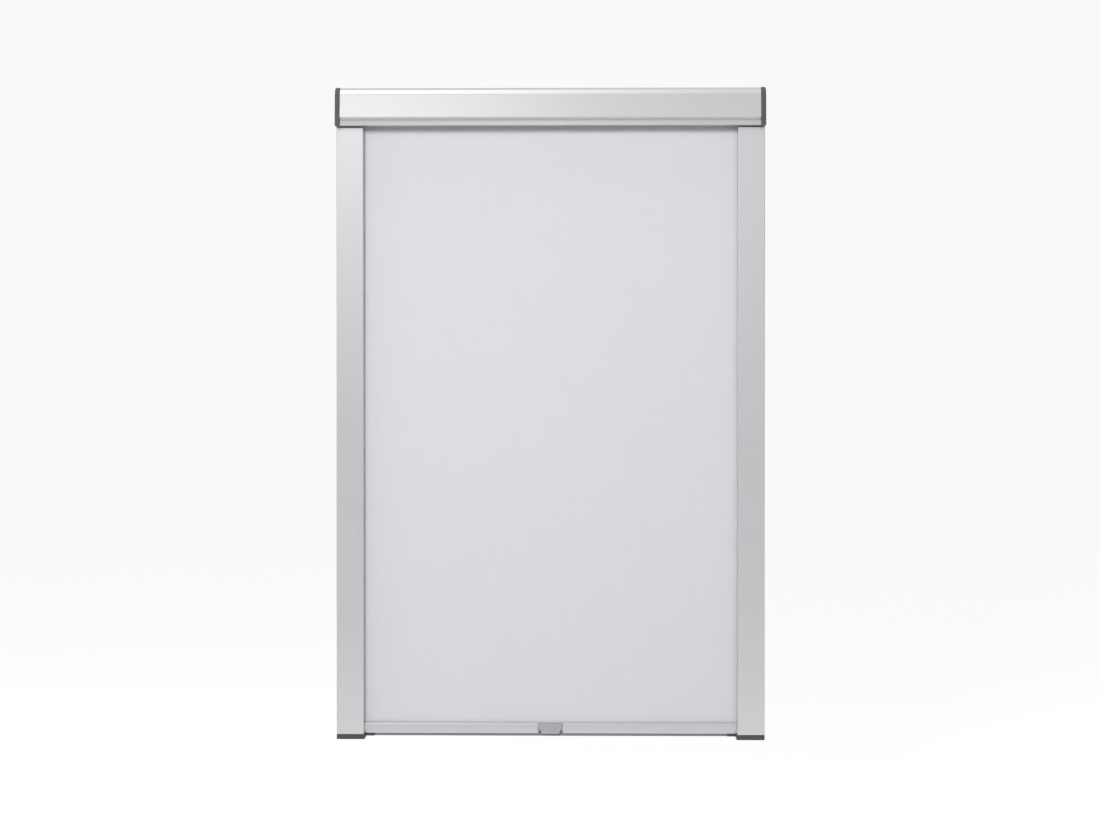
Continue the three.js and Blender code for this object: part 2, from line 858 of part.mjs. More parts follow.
function bottomBar() {
  const span = [-barEnd, barEnd];
  const cutSpan = [-barEnd - overrun, barEnd + overrun];
  const outline = roundedPath(
    [
      [barBack, barFoot, barEdgeRadius / 2],
      [barFront, barFoot, barEdgeRadius / 2],
      [barFront, barTop, barEdgeRadius],
      [barBack, barTop, barEdgeRadius / 2],
    ],
    true,
  );
  const hollow = box(
    cutSpan,
    [barBack + barWall, barFront - barWall],
    [barFoot + barWall, barTop - barWall],
  );
  const pocketCentre = [clothDepth, barPocketHeight];
  const pocketWall = rod(pocketWallRadius, cutSpan, pocketCentre);
  const grooveHalf = sealGrooveWidth / 2;
  const grooveWall = box(
    cutSpan,
    [barMiddle - grooveHalf - barWall, barMiddle + grooveHalf + barWall],
    [barFoot, sealGrooveTop + barWall],
  );
  const groove = box(
    cutSpan,
    [barMiddle - grooveHalf, barMiddle + grooveHalf],
    [barFoot + barWall, sealGrooveTop],
  );
  const grooveMouth = box(
    cutSpan,
    [barMiddle - sealMouth / 2, barMiddle + sealMouth / 2],
    [barFoot - overrun, sealGrooveTop],
  );
  const clothSlit = box(
    cutSpan,
    [clothDepth - kederSlit / 2, clothDepth + kederSlit / 2],
    [barPocketHeight, barTop + overrun],
  );
  return cut(
    alongX(new THREE.Shape(outline), span),
    cut(hollow, pocketWall, grooveWall),
    rod(pocketRadius, cutSpan, pocketCentre),
    clothSlit,
    groove,
    grooveMouth,
    gripNotch(),
  );
}

function barKeder() {
  return rod(kederRadius, [-clothEnd, clothEnd], [clothDepth, barPocketHeight], tinyRoundSides);
}

function barSeal() {
  const end = footInner - fitGap;
  const head = box(
    [-end, end],
    [barMiddle - sealGrooveWidth / 2 + fitGap, barMiddle + sealGrooveWidth / 2 - fitGap],
    [barFoot + barWall + fitGap, sealGrooveTop - fitGap],
  );
  const neck = box(
    [-end, end],
    [barMiddle - sealMouth / 2 + fitGap, barMiddle + sealMouth / 2 - fitGap],
    [sealFoot, sealGrooveTop - fitGap],
  );
  const blade = box(
    [-end, end],
    [barMiddle - sealWidth / 2, barMiddle + sealWidth / 2],
    [sealFoot, barFoot - fitGap],
  );
  return join(head, neck, blade);
}

// Slide shoes: drawn for the right side; each carries the bar's end and its brake

const tongueFoot = sealGrooveTop + barWall + fitGap;
const tongueTop = barPocketHeight - pocketWallRadius - fitGap;
const pocketMiddleX = (shoeInner + shoeOuter) / 2;
const pocketMiddleZ = shoeFoot + shoeHeight / 2;
const brakePocketFloor = shoeFront - brakePocketDepth;

function slideShoe() {
  const outline = roundedPath(
    [
      [shoeInner, shoeBack, shoeCornerRadius],
      [shoeOuter, shoeBack, shoeCornerRadius],
      [shoeOuter, shoeFront, shoeCornerRadius],
      [shoeInner, shoeFront, shoeCornerRadius],
    ],
    true,
  );
  const body = alongZ(new THREE.Shape(outline), shoeFoot, shoeFoot + shoeHeight);
  const tongue = box(
    [shoeInner - shoeTongueLength, shoeInner + overrun],
    [barBack + barWall + fitGap, barFront - barWall - fitGap],
    [tongueFoot, tongueTop],
  );
  const foot = box(
    [footInner, shoeInner + overrun],
    [barBack, barFront],
    [sealFoot, barFoot - fitGap],
  );
  const brakePocket = box(
    [pocketMiddleX - brakePocketWidth / 2, pocketMiddleX + brakePocketWidth / 2],
    [brakePocketFloor, shoeFront + overrun],
    [pocketMiddleZ - brakePocketHeight / 2, pocketMiddleZ + brakePocketHeight / 2],
  );
  return cut(join(body, tongue, foot), brakePocket);
}

const padFront = channelFront - fitGap;
const padBack = padFront - brakePadThickness;
const padHalfWidth = brakePocketWidth / 2 - fitGap;
const padHalfHeight = brakePocketHeight / 2 - fitGap;

function brakePad() {
  return box(
    [pocketMiddleX - padHalfWidth, pocketMiddleX + padHalfWidth],
    [padBack, padFront],
    [pocketMiddleZ - padHalfHeight, pocketMiddleZ + padHalfHeight],
  );
}

// Bowed leaf: its ends stand on the pocket's floor and its crown pushes the pad to the rail.
function brakeSpring() {
  const endDepth = brakePocketFloor + fitGap;
  const crown = padBack - fitGap - leafThickness - endDepth;
  const path = Array.from({ length: leafSteps + 1 }, (_, step) => {
    const share = step / leafSteps;
    const across = pocketMiddleX + padHalfWidth * (2 * share - 1);
    return new THREE.Vector2(across, endDepth + crown * Math.sin(Math.PI * share));
  });
  const leaf = wallSection(path, leafThickness);
  return alongZ(leaf, pocketMiddleZ - padHalfHeight, pocketMiddleZ + padHalfHeight);
}

// Grip: a tapered finger tab that clips through the bar's notch

const gripTop = barTop - gripTopDrop;
const gripFoot = barFoot - gripDrop;
const gripBack = barFront - barWall - fitGap;
const notchBack = barFront - barWall - fitGap - fitGap;

// The notch goes through the front wall, and lower down it opens the seal's groove to the front.
function gripNotch() {
  const half = gripTopWidth / 2 + gripNotchGap;
  const front = barFront + overrun;
  const foot = barFoot - overrun;
  const grooveBack = barMiddle - sealMouth / 2;
  const wallNotch = box([-half, half], [notchBack, front], [foot, gripTop + gripNotchGap]);
  const grooveNotch = box([-half, half], [grooveBack, front], [foot, sealGrooveTop + barWall]);
  return join(wallNotch, grooveNotch);
}

// Side view of the tab: flat at the top, sweeping forward to a finger lip at the foot.
function gripSection() {
  const faceDepth = barFront + gripProud;
  const face = Array.from({ length: gripSteps + 1 }, (_, step) => {
    const share = step / gripSteps;
    const height = gripTop + (gripFoot - gripTop) * share;
    return new THREE.Vector2(faceDepth + gripLipReach * share ** 3, height);
  });
  const back = [new THREE.Vector2(gripBack, gripFoot), new THREE.Vector2(gripBack, gripTop)];
  return new THREE.Shape([...face, ...back]);
}

function grip() {
  const slab = alongX(gripSection(), [-gripTopWidth / 2, gripTopWidth / 2]);
  const root = box(
    [-gripRootWidth / 2, gripRootWidth / 2],
    [barBack + barWall + fitGap, gripBack + overrun],
    [tongueFoot, tongueTop],
  );
  return join(slab.intersect(gripTaper()), root);
}

// Front view of the tab: a trapezium, wide at the top, as deep as the tab.
function gripTaper() {
  const shape = new THREE.Shape([
    new THREE.Vector2(-gripFootWidth / 2, gripFoot),
    new THREE.Vector2(gripFootWidth / 2, gripFoot),
    new THREE.Vector2(gripTopWidth / 2, gripTop),
    new THREE.Vector2(-gripTopWidth / 2, gripTop),
  ]);
  const depth = barDepth + gripProud + gripLipReach + overrun;
  const geometry = new THREE.ExtrudeGeometry(shape, { depth, bevelEnabled: false });
  return solid(geometry.rotateX(Math.PI / 2).translate(0, -barBack, 0));
}

// Assembly: what is drawn for the right side is mirrored for the left

function mirrored(mesh) {
  mesh.scale.x = -1;
  return mesh;
}

function placed(mesh, [x, depth, height]) {
  mesh.position.set(x, -depth, height);
  return mesh;
}

const roller = new THREE.Group();
roller.position.set(0, -rollerDepth, rollerRise);
roller.add(
  piece("roller_tube", rollerTube(), anodisedAluminium),
  piece("roller_keder", rollerKeder(), kederPlastic),
  piece("fabric_roll", fabricRoll(), whiteCloth),
  piece("idle_plug", flangedPlug(idlePinDiameter / 2 + runGap), naturalPlastic),
  piece("idle_pin", idlePin(), brightSteel),
  mirrored(piece("spring_bush", flangedPlug(arborBore), naturalPlastic)),
  piece("spring_arbor", springArbor(), brightSteel),
  piece("spring_anchor", springAnchor(), naturalPlastic),
  piece("torsion_spring", torsionSpring(), springSteel),
  piece("spring_plug", springPlug(), naturalPlastic),
);

const bar = new THREE.Group();
bar.add(
  piece("bottom_bar", bottomBar(), anodisedAluminium),
  piece("bar_keder", barKeder(), kederPlastic),
  piece("bar_seal", barSeal(), sealRubber),
  piece("grip", grip(), gripPlastic),
);

// The pieces of one side, drawn for the right.
function side(name, direction, socketBore) {
  const [upperPort, lowerPort] = portCentres();
  const group = new THREE.Group();
  group.scale.x = direction;
  group.add(
    piece(`end_cap_${name}`, endCap(socketBore), darkPlastic),
    placed(piece(`cap_screw_${name}_top`, capScrew(), brightSteel), [0, ...upperPort]),
    placed(piece(`cap_screw_${name}_bottom`, capScrew(), brightSteel), [0, ...lowerPort]),
    placed(piece(`bracket_${name}`, bracket(), brightSteel), [halfWidth - bracketInset, 0, 0]),
    piece(`side_rail_${name}`, sideRail(), anodisedAluminium),
    piece(`rail_cap_${name}`, railCap(), darkPlastic),
    piece(`slide_shoe_${name}`, slideShoe(), darkPlastic),
    piece(`brake_spring_${name}`, brakeSpring(), springSteel),
    piece(`brake_pad_${name}`, brakePad(), brakeRubber),
  );
  return group;
}

const blind = new THREE.Group();
blind.add(
  piece("casing", casing(), anodisedAluminium),
  side("left", -1, arborSocket()),
  side("right", 1, pinSocket()),
  roller,
  piece("fabric_panel", fabricPanel(), whiteCloth),
  bar,
);

export default blind;
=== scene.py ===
# Roller blind for a roof window, drawn fully down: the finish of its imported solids.
#
# Lengths are written in millimetres and turned to metres when a mesh or a node is made.
# X runs across the blind, the room is on the -Y side and Z points up. A depth grows from the
# casing's back towards the room, so depth is -Y. The file follows the blind as it is put together.

import json
import math

import bmesh
import bpy
import numpy as np
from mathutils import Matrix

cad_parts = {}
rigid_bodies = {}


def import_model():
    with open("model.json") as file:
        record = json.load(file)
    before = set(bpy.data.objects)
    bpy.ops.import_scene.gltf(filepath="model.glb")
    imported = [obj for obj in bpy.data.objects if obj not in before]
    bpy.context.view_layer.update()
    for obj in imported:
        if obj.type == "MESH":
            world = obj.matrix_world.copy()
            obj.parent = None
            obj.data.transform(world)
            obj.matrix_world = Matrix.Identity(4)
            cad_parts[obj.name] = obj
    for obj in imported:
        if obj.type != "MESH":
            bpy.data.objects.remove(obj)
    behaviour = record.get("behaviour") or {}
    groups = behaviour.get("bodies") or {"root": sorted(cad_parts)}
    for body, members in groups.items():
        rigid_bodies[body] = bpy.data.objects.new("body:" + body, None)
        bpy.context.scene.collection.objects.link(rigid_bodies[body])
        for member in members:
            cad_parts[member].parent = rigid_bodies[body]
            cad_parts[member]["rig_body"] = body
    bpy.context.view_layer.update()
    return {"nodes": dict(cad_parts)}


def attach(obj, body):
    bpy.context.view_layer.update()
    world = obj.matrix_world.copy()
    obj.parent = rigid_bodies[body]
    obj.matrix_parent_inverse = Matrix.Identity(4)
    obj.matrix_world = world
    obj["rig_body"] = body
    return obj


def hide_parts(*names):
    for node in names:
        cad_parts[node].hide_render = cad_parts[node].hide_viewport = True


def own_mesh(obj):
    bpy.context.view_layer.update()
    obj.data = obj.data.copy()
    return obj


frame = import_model()
MM = 0.001


# Head casing
# A thin-walled aluminium extrusion, cut square at both ends and clear anodised. Its front has a
# facet on top, a leaning face, a sharp crease and a skirt; its back has the bracket slot.

CASING_END = 299.2
CASING_TOP = 27.0
CASING_WALL = 1.4
SHOULDER_DEPTH = 35.01
FACET_TOP = [39.01, 24.0]
FACE_TOP = [43.01, 17.5]
BROW = [46.51, -15.0]
CREASE = [42.66, -18.8]
LIP_DEPTH = 46.21
MOUTH_FRONT = 20.0
MOUTH_BACK = 5.0
MOUTH_RIM = 4.0
INNER_ROUNDING = 0.8
REAR_ROUNDING = 0.2
SLOT_TOP = 21.0
SLOT_FOOT = 3.0
SLOT_FLOOR = 4.8
SLOT_LIP = 2.5
PORTS = ((34.01, 22.65), (38.01, -22.65))
PORT_BORE = 1.8
PORT_OUTSIDE = 3.25
PORT_SLIT = 0.8


def rounded(corners, steps=6):
    """Outline through corners of [across, up, radius]: each corner becomes an arc whose centre
    lies radius / sin(half angle) along the bisector. A radius of 0 keeps the point itself."""
    corners = np.asarray(corners, float)
    point, radius = corners[:, :2], corners[:, 2:]
    back = np.roll(point, 1, 0) - point
    ahead = np.roll(point, -1, 0) - point
    back /= np.linalg.norm(back, axis=1, keepdims=True)
    ahead /= np.linalg.norm(ahead, axis=1, keepdims=True)
    half = np.arccos(np.clip((back * ahead).sum(1, keepdims=True), -0.999999, 1)) / 2
    bisector = back + ahead
    bisector /= np.maximum(np.linalg.norm(bisector, axis=1, keepdims=True), 1e-9)
    centre = point + bisector * radius / np.sin(half)
    first = point + back * radius / np.tan(half) - centre
    last = point + ahead * radius / np.tan(half) - centre
    start = np.arctan2(first[:, 1], first[:, 0])
    turn = np.arctan2(last[:, 1], last[:, 0]) - start
    turn = np.arctan2(np.sin(turn), np.cos(turn))
    share = np.linspace(0, 1, steps + 1)
    angle = start[:, None] + turn[:, None] * share
    arc = centre[:, None] + radius[:, None] * np.stack([np.cos(angle), np.sin(angle)], -1)
    kept = (radius > 0) | (share == 0)
    return arc[kept]


def inset(path, distance):
    """Open path moved to its left: each point goes along the mitre of its two directions."""
    path = np.asarray(path, float)
    step = np.diff(path, axis=0)
    step /= np.linalg.norm(step, axis=1, keepdims=True)
    into, out = np.vstack([step[:1], step]), np.vstack([step, step[-1:]])
    mitre = np.stack([-into[:, 1] - out[:, 1], into[:, 0] + out[:, 0]], 1)
    mitre /= np.linalg.norm(mitre, axis=1, keepdims=True)
    reach = distance / (mitre[:, 1] * out[:, 0] - mitre[:, 0] * out[:, 1])
    return path + mitre * reach[:, None]


def along_x(outline, stations):
    """Rings of [x, y, z] in metres: an outline of [depth, height] repeated at each x."""
    rings = np.empty((len(stations), len(outline), 3))
    rings[:, :, 0] = np.asarray(stations, float)[:, None]
    rings[:, :, 1] = -outline[:, 0]
    rings[:, :, 2] = outline[:, 1]
    return rings * MM


SHARP_OVER = math.radians(34)
SAME_POINT = 0.0001


def smoothed(made):
    """Shades a piece smooth but for its sharp edges, and lets each point lean with its largest
    face, so that a flat wall stays flat up to its rounded edge."""
    made.data.shade_smooth()
    made.data.set_sharp_from_angle(angle=SHARP_OVER)
    even = made.modifiers.new("even shading", "WEIGHTED_NORMAL")
    even.keep_sharp = True


def skinned(name, *lofts):
    """One mesh object from lofts of rings (ring, point, xyz): four-sided faces join each ring to
    the next and one face closes each end."""
    mesh, shape = bpy.data.meshes.new(name), bmesh.new()
    for rings in lofts:
        count, around = rings.shape[:2]
        number = np.arange(count * around).reshape(count, around)
        beside = np.roll(number, -1, 1)
        sides = np.stack([number[:-1], beside[:-1], beside[1:], number[1:]], -1).reshape(-1, 4)
        loft = bpy.data.meshes.new(name)
        ends = [number[0, ::-1].tolist(), number[-1].tolist()]
        loft.from_pydata(rings.reshape(-1, 3).tolist(), [], sides.tolist() + ends)
        shape.from_mesh(loft)
        bpy.data.meshes.remove(loft)
    bmesh.ops.remove_doubles(shape, verts=shape.verts, dist=SAME_POINT * MM)
    bmesh.ops.recalc_face_normals(shape, faces=shape.faces)
    shape.to_mesh(mesh)
    shape.free()
    made = bpy.data.objects.new(name, mesh)
    bpy.context.scene.collection.objects.link(made)
    smoothed(made)
    return made


def linear(colour):
    """sRGB hex text to linear red, green, blue and alpha 1."""
    share = np.array([int(colour[i : i + 2], 16) for i in (0, 2, 4)]) / 255
    light = np.where(share <= 0.04045, share / 12.92, ((share + 0.055) / 1.055) ** 2.4)
    return (*light.tolist(), 1.0)


def node(tree, kind, sockets=None, **settings):
    """Adds a node. Settings are its properties; sockets gives each input, by name or number, a
    value or another node's output. A Mix node takes its share as 0 and its two numbers as 2 and
    3, or its two colours as 6 and 7, and mixed colours leave it by output 2."""
    made = tree.nodes.new(kind)
    for name, value in settings.items():
        setattr(made, name, value)
    for key, value in (sockets or {}).items():
        if isinstance(value, bpy.types.NodeSocket):
            tree.links.new(value, made.inputs[key])
        else:
            made.inputs[key].default_value = value
    return made


def finish(name, **sockets):
    """A material with one Principled shader: returns the material, its tree and the shader."""
    made = bpy.data.materials.new(name)
    made.use_nodes = True
    tree = made.node_tree
    tree.nodes.clear()
    shader = node(tree, "ShaderNodeBsdfPrincipled", sockets)
    node(tree, "ShaderNodeOutputMaterial", {"Surface": shader.outputs[0]})
    return made, tree, shader


DIE_LINE_WIDTH = 0.4
DIE_LINE_LENGTH = 180.0
METAL_CLOUD = 60.0


def satin_aluminium(name, along, light, dark, roughness):
    """Extruded or drawn aluminium, clear anodised or as it leaves the mill: an even satin sheen,
    with faint lines that the die draws along the piece, 0.4 mm wide and many centimetres long."""
    made, tree, shader = finish(name, Metallic=1.0)
    place = node(tree, "ShaderNodeTexCoord").outputs["Object"]
    scale = [1 / DIE_LINE_WIDTH / MM] * 3
    scale["XYZ".index(along)] = 1 / DIE_LINE_LENGTH / MM
    drawn = node(tree, "ShaderNodeMapping", {"Vector": place, "Scale": scale})
    lines = node(
        tree, "ShaderNodeTexNoise", {"Vector": drawn.outputs[0], "Scale": 1.0, "Detail": 3.0}
    )
    cloudy = node(
        tree,
        "ShaderNodeTexNoise",
        {"Vector": place, "Scale": 1 / METAL_CLOUD / MM, "Detail": 2.0},
    )
    both = node(
        tree,
        "ShaderNodeMix",
        {0: 0.35, 2: lines.outputs[0], 3: cloudy.outputs[0]},
        data_type="FLOAT",
    )
    tone = node(
        tree,
        "ShaderNodeMix",
        {0: both.outputs[0], 6: linear(dark), 7: linear(light)},
        data_type="RGBA",
    )
    sheen = node(
        tree,
        "ShaderNodeMapRange",
        {"Value": both.outputs[0], "To Min": roughness - 0.05, "To Max": roughness + 0.05},
    )
    relief = node(
        tree,
        "ShaderNodeBump",
        {"Strength": 0.12, "Distance": 0.02 * MM, "Height": lines.outputs[0]},
    )
    tree.links.new(tone.outputs[2], shader.inputs["Base Color"])
    tree.links.new(sheen.outputs[0], shader.inputs["Roughness"])
    tree.links.new(relief.outputs[0], shader.inputs["Normal"])
    return made


# Corners of [depth, height, rounding], from the mouth's front rim along the outside to the back.
rim = [[MOUTH_FRONT, MOUTH_RIM - CASING_TOP, 0.3], [MOUTH_FRONT, -CASING_TOP, 0.8]]
skirt = [[LIP_DEPTH, -CASING_TOP, 0.3], [*CREASE, 0.2]]
face = [[*BROW, 0.5], [*FACE_TOP, 2.0]]
facet = [[*FACET_TOP, 2.0], [SHOULDER_DEPTH, CASING_TOP, 2.0]]
front = np.array(rim + skirt + face + facet + [[0, CASING_TOP, 0.4]])

# Down the back round the bracket slot, round the mouth's back rim, and up inside round the wall
# behind the slot. The way back is the front's own line, one wall farther in.
slot = [
    [0, SLOT_TOP - SLOT_LIP],
    [CASING_WALL, SLOT_TOP - SLOT_LIP],
    [CASING_WALL, SLOT_TOP],
    [SLOT_FLOOR, SLOT_TOP],
    [SLOT_FLOOR, SLOT_FOOT],
    [CASING_WALL, SLOT_FOOT],
    [CASING_WALL, SLOT_FOOT + SLOT_LIP],
    [0, SLOT_FOOT + SLOT_LIP],
]
back_rim = [
    [0, -CASING_TOP],
    [MOUTH_BACK, -CASING_TOP],
    [MOUTH_BACK, CASING_WALL - CASING_TOP],
    [CASING_WALL, CASING_WALL - CASING_TOP],
]
slot_wall = [
    [CASING_WALL, SLOT_FOOT - CASING_WALL],
    [SLOT_FLOOR + CASING_WALL, SLOT_FOOT - CASING_WALL],
    [SLOT_FLOOR + CASING_WALL, SLOT_TOP + CASING_WALL],
    [CASING_WALL, SLOT_TOP + CASING_WALL],
    [CASING_WALL, CASING_TOP - CASING_WALL],
]
rear_path = np.array(slot + back_rim + slot_wall, float)
rear = np.column_stack([rear_path, np.full(len(rear_path), REAR_ROUNDING)])
inner_radius = np.minimum(front[:, 2], INNER_ROUNDING)
inside = np.column_stack([inset(front[:, :2], CASING_WALL), inner_radius])[-2::-1]
casing_outline = rounded(np.vstack([front, rear, inside]))


def port_outline(depth, height, steps=40):
    """A ring with a slit on its inner side: the outer arc one way and the bore's arc back."""
    outer = math.asin(PORT_SLIT / PORT_OUTSIDE)
    inner = math.asin(PORT_SLIT / PORT_BORE)
    round_out = np.linspace(math.pi - outer, outer - math.pi, steps)
    round_in = np.linspace(inner - math.pi, math.pi - inner, steps)
    radius = np.repeat([PORT_OUTSIDE, PORT_BORE], steps)
    angle = np.r_[round_out, round_in]
    return np.stack([depth + radius * np.cos(angle), height + radius * np.sin(angle)], 1)


casing_span = (-CASING_END, CASING_END)
casing = skinned(
    "head_casing",
    along_x(casing_outline, casing_span),
    *(along_x(port_outline(*centre), casing_span) for centre in PORTS),
)
satin_across = satin_aluminium("satin_anodised_aluminium_across", "X", "C1C1C2", "B9B9BB", 0.3)
casing.data.materials.append(satin_across)
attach(casing, "frame")
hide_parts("casing")


# End caps
# Moulded in dark grey nylon with a fine spark-eroded grain. Each closes one end of the casing,
# holds the roller's axle in a socket, and stands on the rail below with a tongue.

CAD_SAME_POINT = 0.002
FLAT_WITHIN = math.radians(0.3)


def refined(cad_name, piece_name, rounding):
    """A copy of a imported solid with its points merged, its flat faces made whole, its curved
    faces shaded smooth and its sharp edges rounded by a small bevel; it stands for the node that
    it copies, and rides on the same body."""
    mesh = frame["nodes"][cad_name].data.copy()
    mesh.name = piece_name
    mesh.materials.clear()
    shape = bmesh.new()
    shape.from_mesh(mesh)
    bmesh.ops.remove_doubles(shape, verts=shape.verts, dist=CAD_SAME_POINT * MM)
    bmesh.ops.dissolve_limit(
        shape, angle_limit=FLAT_WITHIN, verts=shape.verts, edges=shape.edges
    )
    shape.to_mesh(mesh)
    shape.free()
    made = bpy.data.objects.new(piece_name, mesh)
    bpy.context.scene.collection.objects.link(made)
    if rounding:
        bevel = made.modifiers.new("edge rounding", "BEVEL")
        bevel.width = rounding * MM
        bevel.segments = 2
        bevel.limit_method = "ANGLE"
        bevel.angle_limit = SHARP_OVER
        bevel.use_clamp_overlap = False
    smoothed(made)
    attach(made, frame["nodes"][cad_name]["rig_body"])
    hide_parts(cad_name)
    return made


PLASTIC_CLOUD = 25.0


def grained_plastic(name, light, dark, roughness, grain=0.35, relief=0.03):
    """Moulded plastic with a spark-eroded grain: fine even pits that break up the gloss, and a
    faint clouding in the colour. grain is the pits' width and relief their depth, in mm."""
    made, tree, shader = finish(name, Metallic=0.0, IOR=1.5)
    place = node(tree, "ShaderNodeTexCoord").outputs["Object"]
    pits = node(
        tree,
        "ShaderNodeTexNoise",
        {"Vector": place, "Scale": 1 / grain / MM, "Detail": 2.0, "Roughness": 0.6},
    )
    cloudy = node(
        tree,
        "ShaderNodeTexNoise",
        {"Vector": place, "Scale": 1 / PLASTIC_CLOUD / MM, "Detail": 3.0},
    )
    mixed = node(
        tree,
        "ShaderNodeMix",
        {0: 0.45, 2: cloudy.outputs[0], 3: pits.outputs[0]},
        data_type="FLOAT",
    )
    spread = node(
        tree, "ShaderNodeMapRange", {"Value": mixed.outputs[0], "From Min": 0.3, "From Max": 0.7}
    )
    tone = node(
        tree,
        "ShaderNodeMix",
        {0: spread.outputs[0], 6: linear(dark), 7: linear(light)},
        data_type="RGBA",
    )
    gloss = node(
        tree,
        "ShaderNodeMapRange",
        {
            "Value": pits.outputs[0],
            "From Min": 0.3,
            "From Max": 0.7,
            "To Min": roughness - 0.07,
            "To Max": roughness + 0.07,
        },
    )
    bump = node(
        tree,
        "ShaderNodeBump",
        {"Strength": 0.5, "Distance": relief * MM, "Height": pits.outputs[0]},
    )
    tree.links.new(tone.outputs[2], shader.inputs["Base Color"])
    tree.links.new(gloss.outputs[0], shader.inputs["Roughness"])
    tree.links.new(bump.outputs[0], shader.inputs["Normal"])
    return made


dark_nylon = grained_plastic("moulded_dark_grey_nylon", "535356", "47474A", 0.42)
for side in ("left", "right"):
    cap = refined(f"end_cap_{side}", f"casing_end_cap_{side}", rounding=0.3)
    cap.data.materials.append(dark_nylon)


# End cap screws
# Countersunk steel screws with a cross slot, bright zinc plated. Two hold each end cap, driven
# into the casing's ports.

STEEL_PATCH = 3.0


def plated_steel(name, light, dark, roughness):
    """Plated or oiled steel: a bright grey metal whose surface clouds the sheen from spot to
    spot, in patches 3 mm wide."""
    made, tree, shader = finish(name, Metallic=1.0)
    place = node(tree, "ShaderNodeTexCoord").outputs["Object"]
    cloudy = node(
        tree,
        "ShaderNodeTexNoise",
        {"Vector": place, "Scale": 1 / STEEL_PATCH / MM, "Detail": 4.0},
    )
    tone = node(
        tree,
        "ShaderNodeMix",
        {0: cloudy.outputs[0], 6: linear(dark), 7: linear(light)},
        data_type="RGBA",
    )
    sheen = node(
        tree,
        "ShaderNodeMapRange",
        {
            "Value": cloudy.outputs[0],
            "From Min": 0.3,
            "From Max": 0.7,
            "To Min": roughness - 0.08,
            "To Max": roughness + 0.08,
        },
    )
    tree.links.new(tone.outputs[2], shader.inputs["Base Color"])
    tree.links.new(sheen.outputs[0], shader.inputs["Roughness"])
    return made


zinc_plate = plated_steel("zinc_plated_steel", "C4C6C8", "A9ABAE", 0.32)
for side in ("left", "right"):
    for end in ("top", "bottom"):
        screw = refined(f"cap_screw_{side}_{end}", f"end_cap_screw_{side}_{end}", rounding=0.08)
        screw.data.materials.append(zinc_plate)


# Brackets
# Two T-shaped clips of zinc plated steel. They are screwed to the window, and the casing hangs on
# them by the slot in its back.

for side in ("left", "right"):
    clip = refined(f"bracket_{side}", f"fixing_bracket_{side}", rounding=0.2)
    clip.data.materials.append(zinc_plate)


# Roller
# A drawn aluminium tube with a keder groove, closed by a moulded plug at each end. The right
# plug turns on a steel pin, the left one on the spring's arbor.

mill_aluminium = satin_aluminium("mill_finish_aluminium", "X", "C9C9CB", "BBBBBE", 0.3)
tube = refined("roller_tube", "winding_tube", rounding=0.1)
tube.data.materials.append(mill_aluminium)

acetal = grained_plastic(
    "moulded_natural_acetal", "E2E0D8", "D6D4CB", 0.42, grain=0.6, relief=0.015
)
for cad_name, piece_name in (
    ("idle_plug", "roller_end_plug_right"),
    ("spring_bush", "roller_end_plug_left"),
    ("spring_plug", "spring_drive_plug"),
    ("spring_anchor", "spring_anchor_collar"),
):
    plug = refined(cad_name, piece_name, rounding=0.2)
    plug.data.materials.append(acetal)

for cad_name, piece_name in (
    ("idle_pin", "roller_pin_right"),
    ("spring_arbor", "spring_arbor_rod"),
):
    axle = refined(cad_name, piece_name, rounding=0.15)
    axle.data.materials.append(zinc_plate)


# Winding spring
# A torsion coil of oiled steel wire inside the tube, tied to the fixed arbor at its outer end and
# to the tube at its inner end, so that drawing the cloth down winds it up.

WIRE = 1.2
COIL_RADIUS = 6.0
COIL_PITCH = 4.0
COIL_CURLS = 30
COIL_START = -264.9
ROLLER_DEPTH = 24.4125
ROLLER_HEIGHT = 2.0


def coil_rings(steps=36, sides=12):
    """Round wire along a helix about the roller's axis: ring k stands at angle 2 pi k / steps and
    is turned by the helix's slope, so that its circle is square to the wire."""
    turn = np.linspace(0, COIL_CURLS, COIL_CURLS * steps + 1)[:, None]
    spin = 2 * np.pi * np.arange(sides) / sides
    slope = math.atan(COIL_PITCH / (2 * math.pi * COIL_RADIUS))
    radius = COIL_RADIUS + WIRE / 2 * np.cos(spin)
    aside = WIRE / 2 * np.sin(spin)
    angle = 2 * np.pi * turn
    lag = -aside * math.sin(slope)
    rings = np.empty((len(turn), sides, 3))
    rings[..., 0] = COIL_START + COIL_PITCH * turn + aside * math.cos(slope)
    rings[..., 1] = radius * np.cos(angle) - lag * np.sin(angle) - ROLLER_DEPTH
    rings[..., 2] = radius * np.sin(angle) + lag * np.cos(angle) + ROLLER_HEIGHT
    return rings * MM


spring = skinned("winding_spring", coil_rings())
spring_steel = plated_steel("oiled_spring_steel", "9A9B9F", "7C7D81", 0.34)
spring.data.materials.append(spring_steel)
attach(spring, "frame")
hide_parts("torsion_spring")


# Cloth
# Close-woven blackout cloth, white with a slight lavender cast. A few turns stay on the tube, and
# the rest hangs flat from the back of the roll into the bar, its edges inside the rails.

CLOTH_EDGE = 278.5
CLOTH_THICKNESS = 0.4
CLOTH_DEPTH = 9.3
PANEL_TOP = 2.0
PANEL_FOOT = -882.1
ROLL_TURNS = 2.25
ROLL_INNER = 12.3
ROLL_PITCH = 0.85


